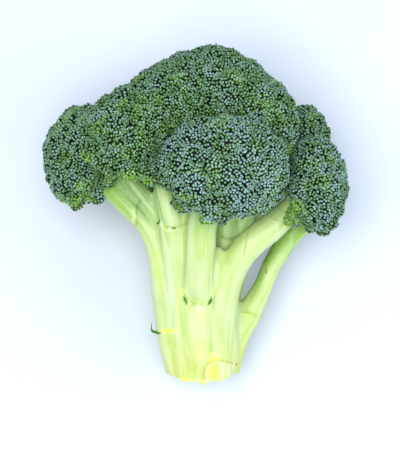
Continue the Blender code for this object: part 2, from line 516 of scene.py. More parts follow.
@dataclass(frozen=True)
class Stem:
    """A stalk or branch: a run of (x, y, z, radius) in plan millimetres, from root to tip."""

    name: str
    run: Run
    seed: int
    flutes_mm: float = 0.1
    sides: int = 48

    def line(self, step_mm: float = 1.0) -> np.ndarray:
        """Follows the run smoothly.

        Args:
            step_mm: how far apart the points are.

        Returns:
            Rows of x, y, z and radius in millimetres.
        """
        knots = np.array(self.run, float)
        knots = np.vstack([2 * knots[0] - knots[1], knots, 2 * knots[-1] - knots[-2]])
        rows = []
        for a, b, c, d in zip(knots, knots[1:], knots[2:], knots[3:]):
            count = max(2, round(np.linalg.norm(c[:3] - b[:3]) / step_mm))
            for t in np.arange(count) / count:
                bend = (2 * a - 5 * b + 4 * c - d) * t**2 + (3 * b - a - 3 * c + d) * t**3
                rows.append(0.5 * (2 * b + (c - a) * t + bend))
        return np.array([*rows, knots[-2]])

    def axes(self, line: np.ndarray) -> tuple[np.ndarray, np.ndarray, np.ndarray]:
        """Finds the directions of the section at each point of a line.

        Args:
            line: rows of x, y, z and radius.

        Returns:
            The tangent, the direction nearest the front and the one to its right.
        """
        tangent = unit(np.gradient(line[:, :3], axis=0))
        facing = unit(FRONT - tangent * (tangent @ FRONT)[:, None])
        return tangent, facing, np.cross(facing, tangent)

    def swept(self, step_mm: float = 1.0) -> tuple[np.ndarray, list]:
        """Sweeps a fluted round section along the run, with rounded ends.

        Args:
            step_mm: how far apart the rings are.

        Returns:
            The points in millimetres and the faces of one closed tube.
        """
        chance = np.random.default_rng(self.seed)
        line = self.line(step_mm)
        tangent, facing, right = self.axes(line)
        lengths = np.concatenate([[0], np.cumsum(np.linalg.norm(np.diff(line[:, :3], axis=0), axis=1))])
        angle = np.linspace(0, 2 * np.pi, self.sides, endpoint=False)
        flute = np.zeros((len(line), self.sides))
        for lobes, share in ((2, 1.2), (3, 1.0), (5, 0.9), (8, 0.7), (13, 0.4)):
            drift = chance.normal(0, 0.012)
            phase = chance.uniform(0, 6.28)
            flute += share * np.cos(lobes * angle[None, :] + phase + drift * lengths[:, None])
        radius = line[:, 3:4] + self.flutes_mm * flute
        cosine, sine = np.cos(angle)[None, :, None], np.sin(angle)[None, :, None]
        around = cosine * facing[:, None, :] + sine * right[:, None, :]
        rings = line[:, None, :3] + around * radius[:, :, None]
        ends = []
        for end, way, bulge in ((0, -1, 0.35), (-1, 1, 0.6)):
            middle, reach = line[end, :3], way * tangent[end] * line[end, 3]
            ends.append(
                [
                    middle + (rings[end] - middle) * math.sqrt(1 - rise * rise) + reach * rise * bulge
                    for rise in np.sin(np.radians((75, 50, 25)))
                ]
            )
        return closed_tube(np.array([*ends[0], *rings, *ends[1][::-1]]))


def closed_tube(rings: np.ndarray) -> tuple[np.ndarray, list]:
    """Skins a stack of rings and closes both ends with a fan.

    Args:
        rings: an array of rings, points and coordinates.

    Returns:
        The points and the faces.
    """
    count, sides = rings.shape[:2]
    points = np.vstack([rings.reshape(-1, 3), rings[0].mean(axis=0), rings[-1].mean(axis=0)])
    faces = []
    for ring in range(count - 1):
        for side in range(sides):
            a, b = ring * sides + side, ring * sides + (side + 1) % sides
            faces.append((a, b, b + sides, a + sides))
    last = (count - 1) * sides
    for side in range(sides):
        faces.append((count * sides, (side + 1) % sides, side))
        faces.append((count * sides + 1, last + side, last + (side + 1) % sides))
    return points, faces


STEMS = (
    Stem(
        "stalk",
        (
            (0, 0, -4, 16.6), (0, 0, 2, 17.9), (0.3, -0.3, 12, 19.3), (-0.8, -2, 24, 20),
            (-1.5, -2.5, 40, 18.2), (-1, -2, 56, 13), (0, 0, 68, 8),
        ),
        seed=1, flutes_mm=0.3, sides=96,
    ),
    Stem(
        "branch_front",
        (
            (-2.6, -16.6, 43.9, 7.2), (-2.6, -20, 52, 7.6), (-2, -22.8, 64, 7.6), (-1, -25, 80, 7.4),
            (5, -32, 100, 6.3),
        ),
        seed=2,
    ),
    Stem(
        "branch_left",
        (
            (-9, -5, -4, 8), (-14.6, -9.8, 22, 8), (-18, -12, 54, 8.2), (-21.3, -13.5, 66, 6.5),
            (-27, -14.5, 77.4, 5.5), (-34.4, -13.8, 85.2, 5.6), (-41.6, -11.5, 92.2, 5.8),
            (-50, -4, 101, 6.3),
        ),
        seed=3, flutes_mm=0.04,
    ),
    Stem(
        "branch_right",
        (
            (6, -8, -4, 8), (8, -13.3, 34, 8.0), (11.4, -15.3, 50, 7.1), (17, -16.5, 62.3, 6.9),
            (24.6, -16, 70.6, 6.9), (33, -14.5, 77.2, 6.8), (47, -11, 90, 5),
        ),
        seed=4, flutes_mm=0.07,
    ),
    Stem(
        "branch_top_left",
        (
            (-6, -9, -4, 8), (-10, -14.6, 34, 6.8), (-13.8, -17.8, 66, 7.1), (-15.4, -18.9, 82, 6.6),
            (-17.4, -18.6, 92, 5.8), (-19.4, -13, 101, 4.8), (-19, -2, 112, 4),
        ),
        seed=5,
    ),
    Stem(
        "branch_front_left",
        (
            (-15, -10, 34, 7.5), (-17.5, -12, 54, 8), (-19.5, -13.2, 64, 7), (-21.3, -13.6, 73, 6.3),
            (-24, -13.3, 82, 6), (-29.3, -12.8, 89.5, 6), (-35, -12, 97, 6.2), (-40, -13, 106, 5.5),
        ),
        seed=6, flutes_mm=0.05,
    ),
    Stem(
        "branch_rear_right",
        (
            (10, -3, -4, 6.5), (15, -2.4, 17, 6.6), (21.6, 0, 29, 6.2), (25.6, 2.4, 37, 5.6),
            (29.2, 4.6, 43.5, 4.8), (33, 7.3, 52.2, 4.9), (38.4, 10.8, 61, 5.1), (43, 14, 70, 5.1),
            (47, 17, 94, 4.2),
        ),
        seed=7, flutes_mm=0.07,
    ),
    Stem(
        "branch_low_right",
        (
            (31, 7, 47, 3.4), (39.5, 11.5, 60, 3.8), (46, 11.5, 68.5, 3.7), (52, 9, 73.5, 3.3),
            (56, 5.5, 76.5, 3),
        ),
        seed=8,
    ),
    Stem(
        "branch_top",
        ((2, -3, 36, 7), (6, -4.5, 52, 6.2), (10, -4.5, 73, 5.6), (9, -2, 96, 5.4), (5, 0, 118, 5.2)),
        seed=9,
    ),
    Stem(
        "branch_top_right",
        ((6, -3, 40, 5), (12.5, -2, 58, 4.9), (19, 0, 75, 4.7), (24, -3, 97, 4.7), (25, -5, 110, 4.4)),
        seed=10,
    ),
    Stem(
        "branch_back",
        ((2, 8, -4, 9), (2, 13, 34, 8.7), (3, 19, 57, 8), (4.5, 28, 82, 7.2), (5, 34, 99, 6)), seed=11,
    ),
    Stem(
        "branch_back_left",
        ((-7, 5, 6, 8.6), (-14, 11, 43, 7.8), (-21, 17, 62, 7), (-30, 23, 84, 6.5), (-35, 27, 101, 5.8)),
        seed=12,
    ),
    Stem(
        "branch_back_right",
        ((8, 7, 4, 8.2), (13, 14, 40, 7.2), (18, 20, 60, 6.5), (25, 27, 80, 6), (30, 31.5, 94, 5.4)),
        seed=13,
    ),
    Stem(
        "branch_back_top",
        ((-3, 3, 38, 6), (-4, 8, 58, 6), (-5, 13, 80, 6), (-7, 18, 104, 5.6), (-8, 20, 117, 5)), seed=14,
    ),
)


WEBS = (
    Stem(
        "web", ((-8.5, -16.5, 46, 3.5), (-8.2, -19, 66, 4.2), (-8.8, -19, 84, 4.2), (-10, -17, 96, 3)),
        seed=41,
    ),
    Stem(
        "web", ((4.2, -16, 30, 3.5), (4.8, -18.5, 44, 4), (5.6, -19.5, 56, 3.6), (6.5, -17, 66, 2.5)),
        seed=42,
    ),
    Stem(
        "web", ((-18.5, -14, 60, 4), (-20, -14.5, 72, 4), (-21, -13, 82, 3.4), (-22, -11, 89, 2.6)),
        seed=43,
    ),
    Stem("web", ((11, -6, 30, 6), (11.5, -6, 46, 5.2), (12, -5, 58, 4.5)), seed=44),
)


@dataclass(frozen=True)
class Mark:
    """A line or patch on the skin, drawn on the plan seen square from the front.

    Its run is (x, z) in plan millimetres. Wide is how far it fades to either side, and rise is how proud of
    the skin it stands. It lies on the front or on the back. Where stems are named, it lies only on those.
    """

    colour: str
    wide: float
    rise: float
    strength: float
    run: tuple[tuple[float, float], ...]
    stems: tuple[str, ...] = ()
    back: bool = False

    def away(self, points: np.ndarray) -> tuple[np.ndarray, np.ndarray]:
        """Measures points against the run, as seen from the front.

        Args:
            points: plan points in millimetres.

        Returns:
            How far each one is from the run, in millimetres, and the share of the run that it is beside.
        """
        flat = points[:, (0, 2)]
        run = np.array(self.run, float)
        best, beside = np.full(len(points), 1e9), np.zeros(len(points))
        gone = np.concatenate([[0], np.cumsum(np.linalg.norm(np.diff(run, axis=0), axis=1))])
        for start, end, before, after in zip(run[:-1], run[1:], gone[:-1], gone[1:]):
            leg = end - start
            share = np.clip(((flat - start) @ leg) / max(leg @ leg, 1e-9), 0, 1)
            away = np.linalg.norm(flat - start - share[:, None] * leg, axis=1)
            beside = np.where(away < best, (before + share * (after - before)) / gone[-1], beside)
            best = np.minimum(best, away)
        return best, beside

    def weight(self, points: np.ndarray) -> np.ndarray:
        """Finds how strongly the mark shows: a flat one also fades towards its ends.

        Args:
            points: plan points in millimetres.

        Returns:
            A share from 0 to 1 for each point.
        """
        away, beside = self.away(points)
        fade = 1.0 if self.rise else step_up(beside, 0, 0.35) * step_up(1 - beside, 0, 0.35)
        return bell(away, self.wide) * fade


LINE = "9BBA52"
# a pale grey-green for painted highlights on the stalk's wax
PALE_SHEEN = "C6D0A6"
PALE = "EFF4DC"
REAR = ("branch_rear_right",)
RIGHT = ("branch_right",)
MARKS = (
    # the fork of the left branch, with painted shade in its valley and under the crown's rim
    Mark(
        "7CA650", 0.4, -0.35, 0.65,
        ((-33.1, 76.5), (-31.8, 78.3), (-31.5, 81.3), (-31.7, 84.7), (-31, 87.6), (-30, 89.9)),
    ),
    Mark("E9F4C4", 0.9, 0, 0.4, ((-33.8, 77), (-33.2, 82), (-33.4, 87))),
    # painted shade: the dark green bands along the valley, and the broad one under the crown's rim
    Mark("6E9A48", 1.5, -0.2, 0.35, ((-40, 98.5), (-35.1, 94.7), (-30.9, 90.9))),
    Mark(
        "5C8238", 1.7, 0, 0.75,
        ((-42.4, 102.9), (-36.8, 94.8), (-31.2, 87.2), (-25.6, 79.5), (-22.3, 74.2)),
    ),
    Mark("6E9648", 4.8, 0, 0.8, ((-41.4, 101.9), (-33.5, 98.1), (-25.5, 91.5), (-21.3, 82.8))),
    Mark("A6C452", 2.0, 0, 0.45, ((-47.1, 96.2), (-41.6, 88.1), (-37.4, 82.4), (-33.2, 76.1))),
    Mark("7DA852", 1.6, 0, 0.3, ((-26.8, 86), (-24, 79), (-21.2, 73.1), (-19.3, 66.5))),
    # the pale strand beside it, and the joint across it
    Mark(
        "BED298", 3.4, 0, 0.85,
        ((-23.5, 103.3), (-20.7, 93.4), (-17.9, 86.2), (-14.6, 80.5), (-11.4, 73.8)),
    ),
    Mark("C2CEA0", 3.2, 0, 0.75, ((-15.1, 81.1), (-15.6, 70.5), (-16.7, 48.8), (-17.2, 26.7))),
    Mark(
        "86A85E", 0.45, -0.5, 0.8,
        ((-23.8, 98.7), (-22.6, 93.5), (-21.2, 88.3), (-20.1, 83), (-19.4, 78.7)),
    ),
    Mark(
        "8CAC50", 0.45, 0.35, 0.9,
        ((-21.9, 78.7), (-19.3, 78.1), (-16.9, 77.9), (-14.6, 78), (-11.3, 78.5), (-8.2, 79.3)),
    ),
    Mark("DDE26A", 0.6, 0.05, 0.65, ((-20.4, 78.6), (-18.8, 77.9))),
    Mark("D6DE6A", 0.55, 0.05, 0.6, ((-18.3, 77.2), (-17.4, 76.1))),
    Mark(PALE, 0.7, 0, 0.75, ((-16.8, 76.7), (-15.5, 77))),
    # the grooves between the strands
    Mark(
        "DDEBD4", 0.9, -0.2, 0.35,
        (
            (-20.2, 79.8), (-19.3, 75.2), (-17.9, 69.1), (-16.7, 62.2), (-15.8, 54.7), (-15.3, 46.4),
            (-15.7, 37), (-16.9, 28),
        ),
    ),
    Mark("D3E86E", 1.6, 0, 0.45, ((-25.5, 71.1), (-22.7, 65.2), (-21.3, 56.4), (-21, 41.6))),
    # the dark green of these two grooves is painted shade; the grooves themselves are sunk into the skin
    Mark(
        "8FB262", 0.75, -0.4, 0.55,
        ((-8.2, 88), (-8.1, 79.3), (-8.7, 70.2), (-9.2, 59.8), (-9.9, 50.4), (-10, 47.4)),
    ),
    Mark(
        "8FB262", 0.8, -0.35, 0.5,
        ((5.2, 67), (4.9, 57.3), (4.6, 47), (4.2, 37.2), (3.8, 25.3), (3.6, 16.8)),
    ),
    # the rounded foot of the front branch
    Mark(
        "B6CC54", 0.5, 0.4, 0.9,
        (
            (-10, 47.4), (-8.5, 44.9), (-6.7, 42.8), (-4.3, 41.4), (-1.9, 40.9), (0.5, 41.3), (2.3, 42.9),
            (3.8, 45.1), (4.4, 48),
        ),
    ),
    # painted shadow under the rounded foot, along a sunk line
    Mark(
        "86AC4A", 0.35, -0.5, 0.8,
        ((-9.6, 45.8), (-7.4, 42.6), (-4.4, 40.6), (-1.8, 40.2), (0.9, 40.7), (2.9, 42.8), (4.1, 45)),
    ),
    Mark(PALE, 0.8, 0, 0.8, ((-4.3, 39.7), (-1.9, 38.4), (-0.5, 38.9))),
    Mark(PALE, 0.6, 0, 0.6, ((-3.3, 38.3), (-2.4, 36.4))),
    # painted highlight down the front branch
    Mark(PALE_SHEEN, 3.0, 0, 0.55, ((-3, 68), (-2.6, 56), (-2.3, 43))),
    Mark("E2E45A", 0.5, 0, 0.8, ((-7.6, 41), (-6, 40))),
    Mark("E2E45A", 0.5, 0, 0.8, ((-0.3, 39.8), (1.8, 40.9))),
    Mark("D6DE58", 0.7, 0.1, 0.6, ((-11.2, 47.6), (-10.4, 45))),
    # the leaf trace that runs down from it
    Mark("D3E266", 0.4, -0.2, 0.7, ((-10.9, 46.4), (-12, 42.4), (-12.5, 36.3), (-12.4, 31.3))),
    Mark(
        "CFE07A", 0.4, -0.15, 0.6,
        ((-12.4, 31.3), (-11.5, 25.8), (-9.6, 21.6), (-8.1, 18.2), (-7.2, 15.6)),
    ),
    # painted highlight beside the leaf trace
    Mark(PALE_SHEEN, 1.0, 0, 0.5, ((-14.8, 33), (-13.4, 27.1), (-11, 20.4), (-9.1, 16.5))),
    Mark("E4E93C", 0.9, 0.15, 0.9, ((-20.6, 25.7), (-18.2, 26.2), (-16, 26.6))),
    Mark("E0E860", 1.4, 0, 0.6, ((-13.9, 28.1), (-12.9, 25.6))),
    Mark("B5C75A", 0.35, 0.2, 0.7, ((-24.5, 24.6), (-23.1, 24.2), (-20.1, 25.8))),
    # the oval scar of the lowest leaf, and the ribs cut across beside it
    Mark("D6DC3C", 2.6, -0.3, 0.6, ((3.6, 8.4), (5, 6.7), (5.1, 4.6))),
    Mark("E6ECA8", 0.5, 0.05, 0.25, ((1.4, 2.6), (1.2, 6.3), (2.4, 9.5), (4.3, 10.9), (7, 10.6))),
    Mark(
        "A6AA1C", 0.62, 0.4, 1.0,
        ((0, 2.9), (0, 6.3), (0.8, 9.1), (2.6, 11.6), (4.7, 12.7), (6.6, 13), (9.8, 11.4), (13.5, 9.3)),
    ),
    Mark("E0D814", 0.9, 0.2, 0.95, ((2.9, 12.6), (4.8, 13.3), (6.7, 12.8))),
    Mark("E8E060", 0.7, 0.1, 0.6, ((4.1, 15.4), (4.5, 13.4))),
    Mark("D6DCBE", 1.0, 0.15, 0.6, ((8.4, 10), (8.7, 6.8), (8.4, 3.2))),
    Mark("D6DCBE", 1.0, 0.15, 0.6, ((11.8, 8.8), (12.1, 5.6), (11.9, 3.1))),
    Mark("B9CC70", 0.4, -0.3, 0.7, ((10.3, 7.6), (10.4, 3.4))),
    Mark("1E3F12", 0.35, -0.2, 0.95, ((15.6, 7.8), (15.9, 7.3))),
    Mark("DCD64A", 0.5, 0, 0.7, ((14.3, 8.6), (15.1, 8.1))),
    # the foot
    Mark("E0EB5C", 1.6, 0, 0.5, ((-3.3, 24), (-2.6, 18), (-2.2, 10.5))),
    Mark("E4F07C", 1.5, 0, 0.4, ((-1, 36.4), (-0.5, 30.3))),
    Mark("D8DC20", 0.9, 0, 0.8, ((-12.5, 2.6), (-9.6, 2.1), (-7.2, 1.8))),
    Mark("DDE250", 0.8, 0, 0.6, ((-2.4, 1.2), (1, 1.6))),
    # painted highlight on the foot
    Mark(PALE_SHEEN, 0.7, 0, 0.5, ((-17.5, 20.6), (-17.4, 12.2), (-17.2, 5))),
    Mark("C8DC80", 0.4, -0.2, 0.5, ((-15.8, 19.7), (-15.8, 12.3), (-15.5, 3.7))),
    # the right branch
    Mark("B4D27C", 1.2, 0, 0.5, ((5.9, 42), (5.7, 30), (5.2, 18.8)), stems=RIGHT),
    # this and the other pale grey-green marks below are painted highlights on the right branch
    Mark(PALE_SHEEN, 2.0, 0, 0.5, ((10.4, 52), (9.9, 44), (9.7, 30), (9.6, 17.2)), stems=RIGHT),
    Mark(LINE, 0.35, 0.2, 0.6, ((31, 81.3), (33.4, 80.1), (36.6, 79.1)), stems=RIGHT),
    Mark(PALE_SHEEN, 0.8, 0, 0.4, ((35.3, 78.9), (34.3, 75.4), (34.7, 71.8)), stems=RIGHT),
    Mark(LINE, 0.35, 0.2, 0.55, ((27.2, 69.3), (30.6, 70.3), (33, 70.6), (35.4, 70)), stems=RIGHT),
    Mark(LINE, 0.4, -0.3, 0.65, ((18.5, 63.8), (19, 68.2), (20.1, 74.4)), stems=RIGHT),
    Mark(PALE_SHEEN, 0.9, 0, 0.4, ((20.1, 63.6), (20.7, 68.3), (21.6, 73.2)), stems=RIGHT),
    Mark("A8D060", 2, 0, 0.5, ((25.3, 70.1), (27.7, 73.3), (31, 76.5)), stems=RIGHT),
    Mark("9CC25C", 1.8, 0, 0.6, ((36.8, 84.5), (40.5, 89)), stems=RIGHT),
    # the rear right branch
    Mark(
        "B4C44C", 0.42, 0.55, 0.9, ((14, 32.4), (18.5, 31.9), (21.4, 32), (24.3, 31.1), (27.8, 28.9)),
        stems=REAR,
    ),
    Mark("C4D68A", 0.4, 0.45, 0.6, ((35.5, 60.3), (36.8, 59.3), (38.7, 57.3), (41.2, 56)), stems=REAR),
    Mark("C2E63C", 0.8, 0, 0.6, ((39, 52), (36.3, 46.4), (31.3, 37.9), (28.3, 32)), stems=REAR),
    # painted shade on the rear branch's side that faces the gap
    Mark(
        "6C9E38", 1.5, 0, 0.7, ((35.3, 68), (31.9, 59.1), (28.5, 51.1), (23.7, 41), (19.3, 33.4)),
        stems=REAR,
    ),
    Mark("6F9A3E", 0.5, -0.3, 0.7, ((29.9, 51.9), (30.3, 50.7)), stems=REAR),
    # painted shade in the valley where the low right branch leaves the rear branch, under the crown
    Mark("4E7A2C", 0.7, -0.5, 0.7, ((41, 70.5), (43, 74), (44.5, 79)), stems=(*REAR, "branch_low_right")),
    Mark("78A23C", 5.0, 0, 0.85, ((42, 71), (47, 76), (52, 84)), stems=(*REAR, "branch_low_right")),
    # painted shade in the narrow crevice where the gap between the right and rear branches closes
    Mark("2F4F1C", 0.6, -0.3, 0.9, ((17.4, 39.8), (18.4, 37.6))),
    # painted shade in the slit between the rear stalks, along a sunk line
    Mark(
        "6A8F48", 0.8, -0.3, 0.7, ((8.6, 70.5), (11, 69.4), (13.9, 69.5), (17, 70.5)),
        stems=("branch_top", "branch_top_right"),
    ),
    # joints and leaf scars on the back
    Mark(LINE, 0.4, 0.3, 0.7, ((-12, 46), (-6, 44), (0, 43.4), (7, 44.6), (12, 47)), back=True),
    Mark(LINE, 0.4, 0.3, 0.7, ((-25, 64), (-20, 61.6), (-15, 61.4), (-11, 63)), back=True),
    Mark(LINE, 0.4, 0.3, 0.7, ((14, 66), (19, 63.4), (25, 63.8), (29, 66)), back=True),
    Mark("E0E04C", 1, 0.1, 0.8, ((-7, 43.6), (-4.6, 43.2)), back=True),
    Mark("D9DE58", 2.2, -0.3, 0.6, ((-5, 14), (-4.4, 11)), back=True),
    Mark(
        "CFC63C", 0.5, 0.3, 0.8,
        ((-8, 9.6), (-8.2, 13), (-6.4, 16.6), (-3.4, 16.8), (-1.6, 13.2), (-2, 9.6)), back=True,
    ),
    Mark("E2EA70", 1.8, 0, 0.5, ((6, 34), (5, 20), (4, 8)), back=True),
    # the dark green of these two grooves is painted shade; the grooves themselves are sunk into the skin
    Mark("9DC06C", 0.45, -0.5, 0.6, ((-6, 56), (-5, 40), (-4.6, 24)), back=True),
    Mark("9DC06C", 0.45, -0.5, 0.6, ((9, 54), (8, 40), (7.6, 26)), back=True),
)


@dataclass(frozen=True)
class StalkBody:
    """The stalk with all its branches, grown as one skin over many strands."""

    stems: tuple[Stem, ...] = STEMS
    webs: tuple[Stem, ...] = WEBS
    marks: tuple[Mark, ...] = MARKS
    voxel_mm: float = 0.93
    soften: int = 8
    grain_radius_mm: float = 7.0
    grain_apart_mm: float = 400.0
    block: int = 4000  # points measured at once, which keeps the arrays small
    cut_edge: tuple[tuple[float, float], ...] = (
        (-20, 4), (-18, 3), (-13, 2.1), (-10, 0.8), (-5.8, 0.8), (-2.6, 0.6), (-1, -1.2), (0.4, -1.2),
        (2, 1.2), (4.3, 1.3), (7.7, 0.7), (10, 1.6), (13, 2), (14, 3.4), (18, 5),
    )

    def strands(self) -> bpy.types.Object:
        """Joins every stem's tube in one mesh.

        Returns:
            The tubes, still in plan millimetres.
        """
        points, faces = joined([stem.swept() for stem in (*self.stems, *self.webs)])
        mesh = bpy.data.meshes.new("strands")
        mesh.from_pydata(points.tolist(), [], faces)
        return add_object("strands", mesh)

    def skin(self) -> bpy.types.Mesh:
        """Fuses the tubes into one skin, softens the creases between them and cuts the foot unevenly.

        Returns:
            The skin, in plan millimetres.
        """
        strands = self.strands()
        remesh = strands.modifiers.new("fuse", "REMESH")
        remesh.mode = "VOXEL"
        remesh.voxel_size = self.voxel_mm
        mesh = worked_out(strands)
        edges = edges_of(mesh)
        points = smoothed(points_of(mesh), edges, self.soften)
        spread = np.interp(points[:, 0], *zip(*self.cut_edge))
        front = step_up(-points[:, 1], 2, 12)
        chance = np.random.default_rng(5)
        rough = smoothed(chance.normal(0, 1.2, len(points)), edges, 6)
        floor = 1.0 + (spread - 1.0) * front + rough * 0.5
        points[:, 2] = np.maximum(points[:, 2], floor)
        put_points(mesh, smoothed(points, edges, 1, 0.4))
        for widest, reach in ((1.0, 0.5), (0.55, 0.1)):
            self.refine(mesh, widest, reach)
        return mesh

    def refine(self, mesh: bpy.types.Mesh, widest: float, reach: float) -> None:
        """Splits the faces under narrow marks, so that a line of a fraction of a millimetre shows.

        Args:
            mesh: the skin, in plan millimetres.
            widest: marks narrower than this are split under, in millimetres.
            reach: how far past a mark's fade, which ends at 1.6 widths, the faces are split.
        """
        points = points_of(mesh)
        near = np.zeros(len(points), dtype=bool)
        for mark in self.marks:
            if mark.wide < widest:
                side = points[:, 1] > 2 if mark.back else points[:, 1] < 4
                near |= (mark.away(points)[0] < 1.6 * mark.wide + reach) & side
        work = bmesh.new()
        work.from_mesh(mesh)
        flags = near.tolist()
        edges = [edge for edge in work.edges if flags[edge.verts[0].index] and flags[edge.verts[1].index]]
        bmesh.ops.subdivide_edges(work, edges=edges, cuts=1, use_grid_fill=True)
        bmesh.ops.triangulate(work, faces=[face for face in work.faces if len(face.verts) > 4])
        work.to_mesh(mesh)
        work.free()

    def marked(
        self, points: np.ndarray, normals: np.ndarray, survey: dict[str, np.ndarray], colour: np.ndarray
    ) -> tuple[np.ndarray, np.ndarray]:
        """Draws every mark on the skin.

        Args:
            points: plan points in millimetres.
            normals: the skin's normals there.
            survey: what surveyed() found.
            colour: the skin's linear colours.

        Returns:
            The moved points and the changed colours.
        """
        lift = np.zeros(len(points))
        for mark in self.marks:
            side = step_up(points[:, 1], 2, 6) if mark.back else step_up(-points[:, 1], -4, 0)
            if mark.stems:
                side = self.on(survey, *mark.stems)
            weight = mark.weight(points) * side
            lift += mark.rise * weight
            colour = painted(colour, mark.colour, mark.strength * weight)
        return points + normals * lift[:, None], colour

    def surveyed(self, points: np.ndarray) -> dict[str, np.ndarray]:
        """Finds each point's place on the nearest stem.

        Args:
            points: plan points in millimetres.

        Returns:
            The stem's number, the millimetres along it and the angle from its front, for each point.
        """
        lines = [stem.line() for stem in self.stems]
        axes = [stem.axes(line) for stem, line in zip(self.stems, lines)]
        owner = np.concatenate([np.full(len(line), number) for number, line in enumerate(lines)])
        along = np.concatenate([np.arange(len(line), dtype=float) for line in lines])
        line = np.vstack(lines)
        facing, right = (np.vstack([axis[k] for axis in axes]) for k in (1, 2))
        best = np.empty(len(points), dtype=np.int64)
        for some in np.array_split(np.arange(len(points)), 1 + len(points) // self.block):
            away = np.linalg.norm(points[some, None, :] - line[None, :, :3], axis=2) - line[None, :, 3]
            best[some] = away.argmin(axis=1)
        out = points - line[best, :3]
        angle = np.arctan2((out * right[best]).sum(axis=1), (out * facing[best]).sum(axis=1))
        return {"stem": owner[best], "along": along[best], "angle": angle}

    def flesh(self, points: np.ndarray, survey: dict[str, np.ndarray]) -> np.ndarray:
        """Colours the skin: yellowish at the foot, pale in the middle, greener under the crown and on the
        rear branches, where it is also painted darker as shade.

        The cut end shows pith, a greener ring and the cortex.

        Args:
            points: plan points in millimetres.
            survey: what surveyed() found.

        Returns:
            Linear colours, one row for each point.
        """
        height, across = points[:, 2], np.hypot(points[:, 0], points[:, 1])
        rear = self.on(survey, "branch_rear_right", "branch_low_right")
        deep = self.on(survey, "branch_top", "branch_top_right", "branch_back_top")
        colour = np.array(linear("BCC868")[:3])
        for over, share in (
            ("B2C67C", step_up(height, 0, 38)),
            # greener and darker under the crown: the stem's own green, and painted shade from the crown
            ("74A248", step_up(height, 68, 96)),
            # the rear branches: their own deeper green, and painted shade
            ("8CBC48", rear * step_up(height, 38, 74) * 0.8),
            ("B4DC8E", deep * step_up(height, 56, 76) * 0.7),
        ):
            colour = painted(colour, over, share)
        face = np.array(linear("DCE6B4")[:3])
        for over, share in (("B7C96A", step_up(across, 9, 12)), ("CFE08E", step_up(across, 13.5, 15))):
            face = painted(face, over, share)
        return colour + (face - colour) * (1 - step_up(height, 1.5, 3.0))[:, None]

    def on(self, survey: dict[str, np.ndarray], *names: str) -> np.ndarray:
        """Finds the points that are on any of the named stems.

        Args:
            survey: what surveyed() found.
            *names: the stems' names.

        Returns:
            1 or 0 for each point.
        """
        numbers = [number for number, stem in enumerate(self.stems) if stem.name in names]
        return np.isin(survey["stem"], numbers).astype(float)

    def build(self, material: bpy.types.Material) -> BVHTree:
        """Makes the finished skin.

        Args:
            material: the stalk's skin.

        Returns:
            Its surface, in plan millimetres.
        """
        mesh = self.skin()
        points = points_of(mesh)
        survey = self.surveyed(points)
        mesh.materials.clear()
        mesh.materials.append(material)
        mesh.shade_smooth()
        normals = read(mesh.vertices, "normal", 3)
        points, colour = self.marked(points, normals, survey, self.flesh(points, survey))
        store(mesh, "flesh", colour)
        around = np.stack([np.cos(survey["angle"]), np.sin(survey["angle"])]) * self.grain_radius_mm
        along = survey["along"] + survey["stem"] * self.grain_apart_mm
        store(mesh, "grain", np.stack([*around, along], axis=1))
        put_points(mesh, points)
        work = bmesh.new()
        work.from_mesh(mesh)
        surface = BVHTree.FromBMesh(work)
        work.free()
        put_points(mesh, POSE.place(points))
        mesh.name = "stalk_and_branches"
        piece = add_object(mesh.name, mesh)
        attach(piece, "root")
        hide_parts(*[stem.name for stem in self.stems])
        return surface


@dataclass(frozen=True)
class LeafStub:
    """What a trimmed leaf left: a thin curl of dark skin that lies on the stalk.

    Its run is (x, z, radius) in plan millimetres, seen from the front; proud is how far its middle stands
    off the skin, as a share of its radius.
    """

    name: str
    run: tuple[tuple[float, float, float], ...]
    proud: float = 0.2
    most_jump_mm: float = 4.0

    def build(self, skin: BVHTree, material: bpy.types.Material) -> bpy.types.Object:
        """Makes the curl.

        Args:
            skin: the stalk's skin, in plan millimetres.
            material: its finish.

        Returns:
            The piece, in the model's frame.
        """
        run = []
        for x, z, radius in self.run:
            hit = skin.ray_cast(Vector((x, IN_FRONT_MM, z)), Vector((0.0, 1.0, 0.0)))[0]
            depth = run[-1][1] if run else -10.0
            if hit and (not run or abs(hit.y - depth) < self.most_jump_mm):
                depth = hit.y
            run.append((x, depth - self.proud * radius, z, radius))
        points, faces = Stem(self.name, tuple(run), 0, 0.0, 12).swept(0.3)
        piece = new_piece("curl_" + self.name, POSE.place(points), faces, material)
        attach(piece, "root")
        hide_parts("leaf_stub_" + self.name)
        return piece


LEAF_STUBS = (
    LeafStub(
        "left",
        (
            (-25.1, 28.8, 0.12), (-25.4, 26.7, 0.2), (-25.4, 25.0, 0.42), (-24.7, 24.1, 0.65),
            (-23.4, 23.8, 0.75), (-22, 24.2, 0.6), (-20.8, 25.0, 0.2),
        ),
    ),
    LeafStub("front_left", ((-9.6, 44.2, 0.25), (-9.0, 42.6, 0.6), (-8.5, 41.4, 0.5), (-8.3, 40.1, 0.2))),
    LeafStub("front_right", ((3.7, 43.4, 0.25), (3.1, 41.8, 0.6), (2.5, 40.8, 0.5), (1.7, 39.8, 0.2))),
    LeafStub(
        "upper_left", ((-21, 81.4, 0.15), (-21.1, 80, 0.45), (-21.5, 79.2, 0.6), (-22.1, 78.8, 0.3)),
    ),
    LeafStub("upper_mid", ((-15.1, 77.8, 0.2), (-14.2, 77.6, 0.5), (-13.2, 77.6, 0.2))),
)


# ---------------------------------------------------------------------------------------------------
# The florets
# ---------------------------------------------------------------------------------------------------


